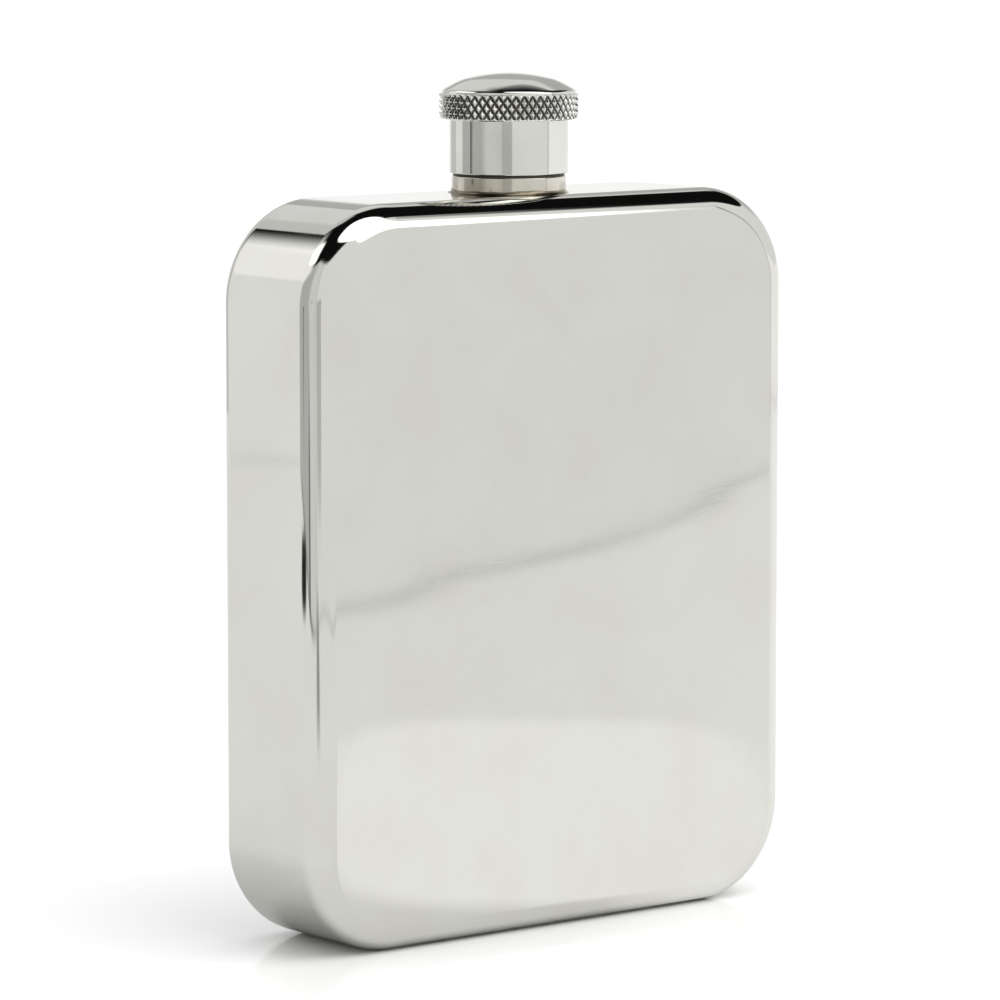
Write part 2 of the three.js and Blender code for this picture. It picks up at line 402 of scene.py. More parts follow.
FINISHES = (
    MetalFinish("sheet_pewter", PEWTER, PEWTER_SHADE, 0.04, 0.06, 14, 26, 190, 40, 0.4, stain=0.55),
    MetalFinish("crown_pewter", PEWTER, PEWTER_SHADE, 0.05, 0.08, 10, 150, 420, 20, 1.2),
    MetalFinish("skirt_pewter", PEWTER, (0.6, 0.59, 0.54), 0.05, 0.12, 6, 220, 700, 30, 1.4, 0.5, 0.5),
    MetalFinish("knurl_pewter", PEWTER, PEWTER_SHADE, 0.07, 0.1, 10, 500, 900, 10, 1, patina=0.95),
    MetalFinish("turned_pewter", (0.74, 0.73, 0.68), (0.6, 0.59, 0.53), 0.16, 0.25, 2, 200, 500, 10,
                1, 1.6),
    MetalFinish("collar_pewter", (0.72, 0.7, 0.63), (0.42, 0.38, 0.28), 0.08, 0.2, 10, 300, 600, 20,
                2, stain=0.9),
    # Near-black finish: painted shade for the groove between the skirt and the collar.
    MetalFinish("groove_painted_shade", (0.07, 0.065, 0.055), (0.03, 0.028, 0.024), 0.45, 0.2),
    # The solder's dark brown to near-black is partly its own dull tarnish and partly a painted dark
    # reflection round the collar's foot.
    MetalFinish("wiped_solder", (0.36, 0.32, 0.23), (0.05, 0.043, 0.032), 0.2, 0.35, 80, 600, 600, 30,
                2, stain=0.95),
    MetalFinish("bead_solder", (0.5, 0.5, 0.48), (0.33, 0.33, 0.31), 0.42, 0.3, 100, 300, 400, 30, 3),
    MetalFinish("bush_brass", (0.72, 0.5, 0.22), (0.5, 0.33, 0.14), 0.24, 0.3, 4, 200, 500, 10, 1, 2),
    LinerFinish(),
)


@dataclass
class Finishes:
    """Every finish on the flask, made once."""

    made: dict[str, Material] = field(default_factory=dict)

    def make(self) -> None:
        """Builds the shared groups and each material."""
        groups = {"marks": polish_marks(), "lines": turning_lines()}
        self.made = {finish.name: finish.material(groups) for finish in FINISHES}

    def __getitem__(self, name: str) -> Material:
        """Returns a finish by name."""
        return self.made[name]


# ---- meshes ----


def link(name: str, data: bpy.types.ID) -> Object:
    """Puts a mesh, a camera or a light into the scene as an object at the origin.

    Args:
        name: The object's name.
        data: What it shows.

    Returns:
        The new object.
    """
    made = bpy.data.objects.new(name, data)
    bpy.context.collection.objects.link(made)
    return made


def smooth(mesh: Mesh, sharp_degrees: float) -> None:
    """Shades a mesh smooth, but keeps edges sharper than the given angle crisp."""
    mesh.shade_smooth()
    mesh.set_sharp_from_angle(angle=math.radians(sharp_degrees))


def skin(name: str, loops: Sequence[Loop], wrap: bool = False, caps: bool = False,
         sharp_degrees: float = 32.0) -> Object:
    """Stitches closed loops of points into a shell whose faces point outwards.

    Args:
        name: The object's name.
        loops: Loops with the same number of points, in order.
        wrap: Joins the last loop back to the first.
        caps: Closes the first and last loops with a fan.
        sharp_degrees: Edges that turn more than this stay crisp.

    Returns:
        The new object.
    """
    count = len(loops[0])
    points = [point for loop in loops for point in loop]
    faces = bands(len(loops), count, wrap)
    if caps:
        for start in (0, len(points) - count):
            middle = sum((Vector(p) for p in points[start:start + count]), Vector()) / count
            hub = len(points)
            points.append(tuple(middle))
            faces += [(hub, start + k, start + (k + 1) % count) for k in range(count)]
    mesh = bpy.data.meshes.new(name)
    mesh.from_pydata(points, [], faces)
    tidy(mesh)
    smooth(mesh, sharp_degrees)
    return link(name, mesh)


def bands(loops: int, count: int, wrap: bool = False) -> list[tuple[int, ...]]:
    """Returns the four-sided faces between closed loops of points.

    Args:
        loops: How many loops there are.
        count: How many points each loop has.
        wrap: Joins the last loop back to the first.

    Returns:
        The faces' point numbers.
    """
    faces = []
    for i in range(loops if wrap else loops - 1):
        low, high = i * count, ((i + 1) % loops) * count
        for k in range(count):
            n = (k + 1) % count
            faces.append((low + k, low + n, high + n, high + k))
    return faces


def tidy(mesh: Mesh) -> None:
    """Merges doubled points, drops faces with no area and turns the faces outwards.

    Args:
        mesh: The mesh that changes.
    """
    work = bmesh.new()
    work.from_mesh(mesh)
    bmesh.ops.remove_doubles(work, verts=work.verts, dist=1e-7)
    bmesh.ops.dissolve_degenerate(work, edges=work.edges, dist=1e-8)
    bmesh.ops.recalc_face_normals(work, faces=work.faces)
    work.to_mesh(mesh)
    work.free()


def turned(name: str, section: Section, segments: int = 192, sharp_degrees: float = 32.0) -> Object:
    """Turns a closed section round the neck's axis.

    Args:
        name: The object's name.
        section: Radius and height pairs. One that starts and ends on the axis stays open there.
        segments: Facets round the axis.
        sharp_degrees: Edges that turn more than this stay crisp.

    Returns:
        The new object.
    """
    on_axis = section[0][0] < 1e-9 and section[-1][0] < 1e-9
    loops = []
    for radius, height in section:
        loops.append([(radius * math.cos(a), radius * math.sin(a), height) for a in angles(segments)])
    return skin(name, loops, wrap=not on_axis, sharp_degrees=sharp_degrees)


def angles(count: int) -> list[float]:
    """Returns evenly spread angles round a full turn."""
    return [FULL_TURN * k / count for k in range(count)]


def arc(centre: tuple[float, float], radius: float, start: float, end: float, steps: int) -> Section:
    """Returns points along an arc between two angles in degrees."""
    turns = [math.radians(start + (end - start) * k / steps) for k in range(steps + 1)]
    return [(centre[0] + radius * math.cos(a), centre[1] + radius * math.sin(a)) for a in turns]


def cut_or_join(target: Object, tool: Object, operation: str) -> None:
    """Cuts a tool away from a piece, or joins it on, and removes the tool.

    Args:
        target: The piece that changes.
        tool: The shape that cuts or is added.
        operation: DIFFERENCE or UNION.
    """
    modifier = target.modifiers.new("shape", "BOOLEAN")
    modifier.operation = operation
    modifier.solver = "EXACT"
    modifier.object = tool
    settle(target)
    bpy.data.objects.remove(tool)


def settle(piece: Object) -> None:
    """Replaces a piece's mesh with the result of its modifiers, and removes them.

    Args:
        piece: The piece that changes.
    """
    evaluated = piece.evaluated_get(bpy.context.evaluated_depsgraph_get())
    mesh = bpy.data.meshes.new_from_object(evaluated)
    piece.modifiers.clear()
    piece.data = mesh
    mesh.name = piece.name


def grow(piece: Object, tree: Tree, values: dict[str, object]) -> None:
    """Runs a geometry tree on a piece and keeps the result as its plain mesh.

    Args:
        piece: The object that the tree works on.
        tree: The geometry node group.
        values: A value for each named input of the tree.
    """
    modifier = piece.modifiers.new("grow", "NODES")
    modifier.node_group = tree
    for item in tree.interface.items_tree:
        if item.item_type == "SOCKET" and item.in_out == "INPUT" and item.name in values:
            modifier[item.identifier] = values[item.name]
    settle(piece)


def dress(piece: Object, material: Material, body: Body, slot: str, *nodes: str) -> None:
    """Gives a piece its finish and its place in the frame, and logs it.

    Args:
        piece: The finished piece.
        material: Its only material.
        body: The body that it rides on.
        slot: The record's material slot. It is not used.
        *nodes: The CAD nodes that it stands for.
    """
    piece.data.materials.clear()
    piece.data.materials.append(material)
    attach(piece, body.value)
    if nodes:
        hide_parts(*nodes)
    log.info("%s: %d faces, rides on %s", piece.name, len(piece.data.polygons), body.value)


# ---- geometry trees ----


def start_tree(name: str, *sizes: str) -> tuple[Canvas, Ports]:
    """Starts a geometry tree with the given inputs between Geometry and Material."""
    return new_group(name, "GeometryNodeTree", ("Geometry", *sizes, "Material"), ("Geometry",))


def end_tree(c: Canvas, geometry: Node, material: Socket) -> Tree:
    """Ends a geometry tree with real geometry in one material.

    Args:
        c: The tree's canvas.
        geometry: The node that gives the shape.
        material: The material.

    Returns:
        The finished geometry group.
    """
    real = c.add("GeometryNodeRealizeInstances", {0: geometry})
    painted = c.add("GeometryNodeSetMaterial", {"Geometry": real, "Material": material})
    c.add("NodeGroupOutput", {0: painted})
    return c.tree


def sweep(c: Canvas, given: Ports, curve: Node, size: Socket, sides: int) -> Tree:
    """Sweeps an oval along a curve, and ends the tree.

    Args:
        c: The tree's canvas.
        given: The tree's inputs, with Height, Width and Material among them.
        curve: The node that gives the path.
        size: The oval's size along the path, as a share of the full one.
        sides: The oval's sides.

    Returns:
        The finished geometry group.
    """
    sized = c.add("GeometryNodeSetCurveRadius", {"Curve": curve, "Radius": size})
    ring = c.add("GeometryNodeCurvePrimitiveCircle", {"Resolution": sides, "Radius": 1.0})
    oval = c.add("GeometryNodeTransform", {
        "Geometry": ring, "Scale": c.join(given["Height"], given["Width"], 1.0)})
    swept = c.add("GeometryNodeCurveToMesh", {"Curve": sized, "Profile Curve": oval, "Fill Caps": True})
    return end_tree(c, swept, given["Material"])


def knurl_tree() -> Tree:
    """Builds the tree that presses a diamond knurl into a ring's outside.

    Returns:
        The geometry group. Its grooves run both ways round, and leave four-sided points between.
    """
    c, given = start_tree(
        "diamond_knurl", "Starts", "Row Height", "Depth", "Low", "High", "Fade", "Inside")
    x, y, z = c.split(c.add("GeometryNodeInputPosition"))
    around = c.times(c.math("DIVIDE", c.math("ARCTAN2", y, x), FULL_TURN), given["Starts"])
    up = c.math("DIVIDE", c.minus(z, given["Low"]), given["Row Height"])
    flanks = []
    for operation, share in (("ADD", 1.0), ("SUBTRACT", 0.9)):
        flank = c.math("PINGPONG", c.math(operation, around, up), 0.5)
        flanks.append(c.math("MULTIPLY_ADD", flank, share, 0.5 * (1 - share)))
    point = c.math("MINIMUM", c.times(c.math("MINIMUM", *flanks), 2.0), KNURL_FLAT)
    rises = c.ramp(z, given["Low"], c.total(given["Low"], given["Fade"]))
    falls = c.ramp(z, c.minus(given["High"], given["Fade"]), given["High"], 1.0, 0.0)
    radius = c.hypot(x, y)
    band = c.times(rises, falls, c.math("GREATER_THAN", radius, given["Inside"]))
    sink = c.times(c.minus(KNURL_FLAT, point), given["Depth"], band)
    share = c.math("DIVIDE", sink, c.times(radius, -1.0))
    deep = c.times(c.minus(1.0, c.math("DIVIDE", point, KNURL_FLAT)), band)
    marked = c.add("GeometryNodeStoreNamedAttribute", data_type="FLOAT", domain="POINT", inputs={
        "Geometry": given["Geometry"], "Name": GROOVE, "Value": deep})
    moved = c.add("GeometryNodeSetPosition", {
        "Geometry": marked, "Offset": c.join(c.times(x, share), c.times(y, share), 0.0)})
    return end_tree(c, moved, given["Material"])


def thread_tree() -> Tree:
    """Builds the tree that sweeps a ridge along a helix, for an outside or an inside thread.

    Returns:
        The geometry group. The ridge runs out to nothing at both ends.
    """
    c, given = start_tree("screw_thread", "Radius", "Width", "Height", "Pitch", "Low", "Turns", "Phase")
    line = c.add("GeometryNodeCurvePrimitiveLine", {"Start": (0, 0, 0), "End": (0, 0, 1)})
    many = c.add("GeometryNodeResampleCurve", {"Curve": line, "Count": 320})
    along = c.add("GeometryNodeSplineParameter").outputs["Factor"]
    turned_so_far = c.times(along, given["Turns"])
    angle = c.total(c.times(turned_so_far, FULL_TURN), given["Phase"])
    spot = c.join(
        c.times(c.math("COSINE", angle), given["Radius"]),
        c.times(c.math("SINE", angle), given["Radius"]),
        c.total(given["Low"], c.times(turned_so_far, given["Pitch"])),
    )
    helix = c.add("GeometryNodeSetPosition", {"Geometry": many, "Position": spot})
    level = c.add("GeometryNodeSetCurveNormal", {"Curve": helix}, mode="Z_UP")
    faded = c.times(c.ramp(along, 0.0, 0.06), c.ramp(along, 0.94, 1.0, 1.0, 0.0))
    return sweep(c, given, level, c.math("MAXIMUM", faded, 0.03), 16)


def bead_tree() -> Tree:
    """Builds the tree that lays an uneven bead along the edges of a mesh.

    Returns:
        The geometry group. The bead swells and narrows a little, as hand-run solder does.
    """
    c, given = start_tree("solder_bead", "Width", "Height", "Unevenness")
    path = c.add("GeometryNodeMeshToCurve", {0: given["Geometry"]})
    wobble = c.minus(c.noise(c.add("GeometryNodeInputPosition"), 260.0, 1.0), 0.5)
    return sweep(c, given, path, c.math("MULTIPLY_ADD", wobble, given["Unevenness"], 0.9), 12)


def thread_ridge(name: str, radius: float, height: float, pitch: float, ends: tuple[float, float],
                 phase: float, material: Material) -> Object:
    """Builds one thread's ridge, ready to be joined to its tube or cup.

    Args:
        name: The object's name.
        radius: The radius of the ridge's middle line.
        height: How far it stands out.
        pitch: The rise in one turn.
        ends: The heights of its two ends.
        phase: Where it starts round the axis, in radians.
        material: Its material.

    Returns:
        The new object.
    """
    ridge = link(name, bpy.data.meshes.new(name))
    grow(ridge, thread_tree(), {
        "Radius": radius, "Width": 0.5 * MM, "Height": height, "Pitch": pitch, "Low": ends[0],
        "Turns": (ends[1] - ends[0]) / pitch, "Phase": phase, "Material": material})
    tidy(ridge.data)
    return ridge


# ---- body ----


@dataclass
class PressedBody:
    """The two pressed shells and the solder that holds them."""

    finishes: Finishes
    corner: float = 15.1 * MM
    edge: float = 3.7 * MM
    wall: float = 1.0 * MM
    neck_hole: float = 7.25 * MM
    corner_steps: int = 44
    edge_steps: int = 26
    hold: float = 0.04 * MM
    half_width: float = 0.0
    half_depth: float = 0.0
    height: float = 0.0

    def measure(self) -> None:
        """Reads the body's size from the frame."""
        low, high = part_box("body_front_pan")
        self.half_width = high[0]
        self.half_depth = -low[1]
        self.height = high[2]

    def outline(self, inset: float, y: float, steps: int) -> Loop:
        """Returns the body's outline, moved inwards.

        Args:
            inset: How far in from the side walls.
            y: The loop's depth.
            steps: Facets in each corner.

        Returns:
            The closed loop, without its first point again.
        """
        radius = self.corner - inset
        x, low, high = self.half_width - self.corner, self.corner, self.height - self.corner
        corners = ((x, high), (-x, high), (-x, low), (x, low))
        rounded = [arc(spot, radius, 90.0 * i, 90.0 * (i + 1), steps) for i, spot in enumerate(corners)]
        loop: Loop = []
        for i, corner_arc in enumerate(rounded):
            loop += [(px, y, pz) for px, pz in corner_arc]
            start, end = Vector(corner_arc[-1]), Vector(rounded[(i + 1) % 4][0])
            length = (end - start).length
            for along in (self.hold, *spread(0.0, length, 7)[1:-1], length - self.hold):
                px, pz = start.lerp(end, along / length)
                loop.append((px, y, pz))
        return loop

    def face_rings(self, inset: float, y: float, steps: int) -> list[Loop]:
        """Returns the loops that fill a flat face, shrinking towards its middle.

        Args:
            inset: How far in the face starts.
            y: The face's depth.
            steps: Facets in each corner.

        Returns:
            The loops in order.
        """
        rim = self.outline(inset, y, steps)
        middle = self.height / 2
        rings = [self.outline(inset + self.hold, y, steps)]
        for share in (0.96, 0.8, 0.6, 0.4, 0.2):
            rings.append([(x * share, y, middle + (z - middle) * share) for x, _, z in rim])
        return rings

    def pressing(self, inset: float, side: int, edge_steps: int) -> list[Loop]:
        """Returns the loops of one shell's skin, from the seam to the middle of its face.

        Args:
            inset: 0 for the outside, the wall for the inside.
            side: -1 for the front, 1 for the back.
            edge_steps: Facets across the rounded edge.

        Returns:
            The loops in order.
        """
        edge = self.edge - inset
        face = self.half_depth - inset
        flats = (0.0, 0.5 * (face - edge), face - edge - self.hold)
        loops = [self.outline(inset, side * y, self.corner_steps) for y in flats]
        for k in range(edge_steps + 1):
            angle = math.radians(90.0 * k / edge_steps)
            turn = inset + edge * (1 - math.cos(angle))
            y = face - edge + edge * math.sin(angle)
            loops.append(self.outline(turn, side * y, self.corner_steps))
        return loops + self.face_rings(self.edge, side * face, self.corner_steps)

    def shell(self, name: str, side: int) -> Object:
        """Builds one shell with its half of the neck hole.

        Args:
            name: The shell's name.
            side: -1 for the front, 1 for the back.

        Returns:
            The new object.
        """
        inner = self.pressing(self.wall, side, self.edge_steps // 3)
        outer = self.pressing(0.0, side, self.edge_steps)
        made = skin(name, [*reversed(inner), *outer], caps=True)
        low, high = self.height - 3 * self.wall, self.height + 3 * self.wall
        drill = [(0, low), (self.neck_hole, low), (self.neck_hole, high), (0, high)]
        cut_or_join(made, turned("neck_drill", drill, 96), "DIFFERENCE")
        smooth(made.data, 32.0)
        return made

    def seam_bead(self) -> Object:
        """Lays the solder along the inside of the seam, stopping either side of the neck.

        Returns:
            The new object.
        """
        loop = self.outline(self.wall + 0.35 * MM, 0.0, 16)
        clear = self.neck_hole + 0.8 * MM
        top = self.height - 3 * MM
        start = next(i for i, (x, _, z) in enumerate(loop) if z > top and x < -clear)
        level = loop[start][2]
        path = [(-clear, 0.0, level), *loop[start:], *loop[:start], (clear, 0.0, level)]
        mesh = bpy.data.meshes.new("seam_bead")
        mesh.from_pydata(path, [(i, i + 1) for i in range(len(path) - 1)], [])
        made = link("seam_bead", mesh)
        grow(made, bead_tree(), {
            "Width": 1.2 * MM, "Height": 0.32 * MM, "Unevenness": 0.2,
            "Material": self.finishes["bead_solder"]})
        tidy(made.data)
        smooth(made.data, 50.0)
        return made

    def build(self) -> None:
        """Makes and dresses the shells and the bead."""
        self.measure()
        sheet = self.finishes["sheet_pewter"]
        front = self.shell("front_shell", -1)
        dress(front, sheet, Body.FLASK, "polished_pewter", "body_front_pan")
        back = self.shell("back_shell", 1)
        dress(back, sheet, Body.FLASK, "polished_pewter_back", "body_back_pan")
        bead = self.seam_bead()
        dress(bead, self.finishes["bead_solder"], Body.FLASK, "seam_solder", "body_seam_solder")


# ---- neck ----


@dataclass
class Neck:
    """The threaded tube, its collar and the solder round the collar's foot."""

    finishes: Finishes
    body: PressedBody
    bore: float = 5.4 * MM
    shank: float = 7.2 * MM
    core: float = 6.7 * MM
    crest: float = 7.4 * MM
    gap: float = 0.05 * MM
    pitch: float = 2.0 * MM
    thread_low: float = 114.2 * MM
    thread_high: float = 120.4 * MM
    collar: float = 8.6 * MM
    ring_facets: int = 224
    register: float = 8.36 * MM
    register_rise: float = 0.35 * MM
    solder_rise: float = 0.55 * MM
    solder_run: float = 0.48 * MM
    solder_gap: float = 0.01 * MM
    solder_waves: tuple[Point, ...] = ((0.16, 3, 0.7), (0.1, 7, 2.1), (0.05, 17, 0.0))

    def tube(self) -> Object:
        """Turns the tube and adds its outside thread.

        Returns:
            The new object.
        """
        low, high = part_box("neck_spout")
        foot, lip = low[2], high[2]
        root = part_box("neck_collar")[1][2]
        lip_round = 0.5 * MM
        section = [
            (self.bore, foot), (self.shank, foot), (self.shank, root),
            (self.core, root + 0.5 * MM),
            *arc((self.core - lip_round, lip - lip_round), lip_round, 0, 90, 8),
            *arc((self.bore + 0.25 * MM, lip - 0.25 * MM), 0.25 * MM, 90, 180, 6),
        ]
        made = turned("neck_tube", section, 160)
        ridge = thread_ridge(
            "neck_ridge", self.core, self.crest - self.core, self.pitch,
            (self.thread_low, self.thread_high), 0.0, self.finishes["turned_pewter"])
        cut_or_join(made, ridge, "UNION")
        smooth(made.data, 40.0)
        return made

    def collar_ring(self) -> Object:
        """Turns the collar with softened edges.

        Returns:
            The new object.
        """
        low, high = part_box("neck_collar")
        soft = 0.16 * MM
        inner = self.shank + self.gap
        section = [
            (inner, low[2]), (self.collar, low[2]), (self.collar, high[2] - soft - EDGE_HOLD),
            *arc((self.collar - soft, high[2] - soft), soft, 0, 90, 8),
            *arc((inner + soft, high[2] - soft), soft, 90, 180, 4),
        ]
        return turned("collar_ring", section, self.ring_facets)

    def register_ring(self) -> Object:
        """Turns the low step that the skirt comes down over, coloured near-black as painted shade in
        the groove under the skirt.

        Returns:
            The new object.
        """
        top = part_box("neck_collar")[1][2]
        inner, soft, rise = self.shank + self.gap, 0.05 * MM, top + self.register_rise
        section = [
            (inner, top - 0.3 * MM), (self.register, top - 0.3 * MM),
            *arc((self.register - soft, rise - soft), soft, 0, 90, 4),
            (inner, rise),
        ]
        return turned("register_ring", section, 192)

    def body_top(self, y: float) -> float:
        """Returns the height of the body's top under a point, where its edge rounds away."""
        over = max(abs(y) - (self.body.half_depth - self.body.edge), 0.0)
        return self.body.height - (self.body.edge - math.sqrt(self.body.edge ** 2 - over ** 2))

    def solder(self) -> Object:
        """Lays the wiped joint round the collar, following the body's rounded top.

        Returns:
            The new object.
        """
        around = angles(240)
        steps = 12
        foot = self.collar + self.solder_gap
        loops = []
        for step in range(steps + 1):
            angle = math.radians(90.0 * step / steps)
            loop = []
            for a in around:
                uneven = 1 + sum(part * math.sin(n * a + lag) for part, n, lag in self.solder_waves)
                radius = foot + self.solder_run * uneven * (1 - math.sin(angle))
                x, y = radius * math.cos(a), radius * math.sin(a)
                rise = self.solder_rise * uneven * (1 - math.cos(angle))
                loop.append((x, y, self.body_top(y) + self.solder_gap + rise))
            loops.append(loop)
        under = [(foot * math.cos(a), foot * math.sin(a)) for a in around]
        loops.append([(x, y, self.body_top(y) + self.solder_gap / 2) for x, y in under])
        return skin("collar_solder", loops, wrap=True, sharp_degrees=60.0)

    def build(self) -> None:
        """Makes and dresses the neck's pieces."""
        f = self.finishes
        dress(self.tube(), f["turned_pewter"], Body.FLASK, "neck_metal", "neck_spout")
        dress(self.collar_ring(), f["collar_pewter"], Body.FLASK, "collar_pewter", "neck_collar")
        # The register ring carries the painted shade of the groove under the skirt.
        dress(self.register_ring(), f["groove_painted_shade"], Body.FLASK, "collar_pewter")
        dress(self.solder(), f["wiped_solder"], Body.FLASK, "neck_solder", "neck_solder_fillet")


# ---- cap ----


@dataclass
class ScrewCap:
    """The cap: skirt, knurled rim, crown, threaded bush and liner."""

    finishes: Finishes
    neck: Neck
    skirt: float = 8.91 * MM
    bore: float = 8.05 * MM
    rim: float = 10.45 * MM
    knurl_starts: int = 50
    knurl_row: float = 1.76 * MM
    knurl_depth: float = 0.6 * MM
    cells_per_point: int = 20
    crown_slopes: tuple[tuple[float, float], ...] = (
        (0.0, 0.0), (6.4, 14.5), (7.0, 21.0), (8.0, 26.0), (9.8, 30.0))
    crown_wall: float = 1.0 * MM
    crown_inside: float = 7.9 * MM
    bush_root: float = 7.62 * MM
    bush_crest: float = 6.95 * MM
    bush_low: float = 114.6 * MM
    bush_high: float = 120.6 * MM

    def skirt_sleeve(self) -> Object:
        """Turns the plain sleeve, its lower edge rolled a little.

        Returns:
            The new object.
        """
        low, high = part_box("cap_skirt")
        soft = 0.14 * MM
        section = [
            (self.bore, high[2]),
            *arc((self.bore + soft, low[2] + soft), soft, 180, 270, 4),
            *arc((self.skirt - soft, low[2] + soft), soft, 270, 360, 8),
            (self.skirt, low[2] + soft + EDGE_HOLD), (self.skirt, high[2]),
        ]
        return turned("skirt_sleeve", section, self.neck.ring_facets)

    def knurled_rim(self) -> Object:
        """Turns the rim on a fine grid and presses the knurl into it.

        Returns:
            The new object.
        """
        low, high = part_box("cap_knurled_rim")
        base, top = low[2], high[2]
        lower, upper = 0.62 * MM, 0.3 * MM
        step = self.knurl_row / self.cells_per_point
        rows = round((top - upper - base - lower) / step)
        band = [(self.rim, z) for z in spread(base + lower, top - upper, rows + 1)[1:-1]]
        section = [
            (self.bore, base), (self.rim - 1.1 * MM, base),
            *arc((self.rim - lower, base + lower), lower, 270, 360, 10),
            *band,
            *arc((self.rim - upper, top - upper), upper, 0, 90, 7),
            (self.bore, top),
        ]
        made = turned("knurled_rim", section, self.knurl_starts * self.cells_per_point, 70.0)
        grow(made, knurl_tree(), {
            "Starts": float(self.knurl_starts), "Row Height": self.knurl_row, "Depth": self.knurl_depth,
            "Low": base + 0.12 * MM, "High": top - 0.02 * MM, "Fade": 0.3 * MM,
            "Inside": self.rim - 0.9 * MM, "Material": self.finishes["knurl_pewter"]})
        return made

    def crown_outline(self, top: float) -> Section:
        """Returns the crown's outside, from its middle out to the rounded edge.

        Args:
            top: The height of its middle.

        Returns:
            Radius and height pairs.
        """
        reach = self.crown_slopes[-1][0] * MM
        outline = [(0.0, top)]
        for r in spread(0.0, reach, 67)[1:]:
            last_r, last_z = outline[-1]
            middle = (r + last_r) / 2 / MM
            for (start, low), (end, high) in zip(self.crown_slopes, self.crown_slopes[1:]):
                if start <= middle <= end:
                    slope = low + (high - low) * (middle - start) / (end - start)
            outline.append((r, last_z - (r - last_r) * math.tan(math.radians(slope))))
        return outline

    def crown(self) -> Object:
        """Turns the domed crown: a shallow dome, a steeper shoulder, and a small rounded edge.

        Returns:
            The new object.
        """
        low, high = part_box("cap_dome")
        seat, top = low[2], high[2]
        outer = self.crown_outline(top)
        (r, z), slope, soft = outer[-1], self.crown_slopes[-1][1], 0.6 * MM
        lean = math.radians(slope)
        centre = (r - soft * math.sin(lean), z - soft * math.cos(lean))
        outer += arc(centre, soft, 90 - slope, 0, 10)[1:]
        edge = centre[0] + soft
        inner = [(r, z - self.crown_wall) for r, z in reversed(outer) if r <= self.crown_inside]
        section = [*outer, (edge, seat), (self.crown_inside + 0.3 * MM, seat), *inner[::3], inner[-1]]
        return turned("domed_crown", section, self.neck.ring_facets, 20.0)

    def bush(self) -> Object:
        """Turns the threaded cup inside the cap and cuts its thread's ridge.

        Returns:
            The new object.
        """
        low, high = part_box("cap_thread_bush")
        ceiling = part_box("cap_seal")[1][2]
        outside = 8.0 * MM
        soft = 0.2 * MM
        section = [
            (0, high[2]), (outside - soft, high[2]), (outside, high[2] - soft),
            (outside, low[2]), (self.bush_root + soft, low[2]), (self.bush_root, low[2] + soft),
            (self.bush_root, ceiling), (0, ceiling),
        ]
        made = turned("threaded_bush", section, 160)
        ridge = thread_ridge(
            "bush_ridge", self.bush_root, self.bush_root - self.bush_crest, self.neck.pitch,
            (self.bush_low, self.bush_high), 1.4 * math.pi, self.finishes["bush_brass"])
        near, far = self.bush_root - 2 * MM, self.bush_root + soft
        foot, head = low[2] - MM, high[2] + MM
        trim = turned("bush_trim", [(near, foot), (far, foot), (far, head), (near, head)], 160)
        cut_or_join(ridge, trim, "INTERSECT")
        cut_or_join(made, ridge, "UNION")
        smooth(made.data, 40.0)
        return made

    def liner(self) -> Object:
        """Turns the liner disc, with the ring that the lip has pressed into it.

        Returns:
            The new object.
        """
        low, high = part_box("cap_seal")
        outside = high[0]
        soft, dent = 0.25 * MM, 0.12 * MM
        lip = (self.neck.bore + self.neck.core) / 2
        section = [
            (0, high[2]), (outside, high[2]),
            *arc((outside - soft, low[2] + soft), soft, 0, -90, 5),
        ]
        for r in spread(lip + 0.8 * MM, lip - 0.8 * MM, 10):
            share = 1 - abs(r - lip) / (0.8 * MM)
            section.append((r, low[2] + dent * share * share * (3 - 2 * share)))
        section.append((0, low[2]))
        return turned("liner_disc", section, 128)

    def build(self) -> None:
        """Makes and dresses the cap's pieces."""
        f = self.finishes
        dress(self.skirt_sleeve(), f["skirt_pewter"], Body.CAP, "cap_pewter", "cap_skirt")
        dress(self.knurled_rim(), f["knurl_pewter"], Body.CAP, "knurled_pewter", "cap_knurled_rim")
        dress(self.crown(), f["crown_pewter"], Body.CAP, "dome_pewter", "cap_dome")
        dress(self.bush(), f["bush_brass"], Body.CAP, "bush_brass", "cap_thread_bush")
        dress(self.liner(), f["liner_plastic"], Body.LINER, "seal_plastic", "cap_seal")


def spread(start: float, end: float, count: int) -> list[float]:
    """Returns evenly spaced values from start to end, both included."""
    return [start + (end - start) * k / (count - 1) for k in range(count)]


# ---- studio ----


@dataclass(frozen=True)
class Panel:
    """A soft-edged light or dark patch of the studio, seen only as light and reflection."""

    coordinates: Coordinates
    centre: tuple[float, float]
    half: tuple[float, float]
    light: float
    roundness: float
    softness: float
    turn: float = 0.0


@dataclass(frozen=True)
class Patch(Panel):
    """A soft patch on the floor that only the polished metal mirrors."""

    name: str = ""
    lift: float = 0.0


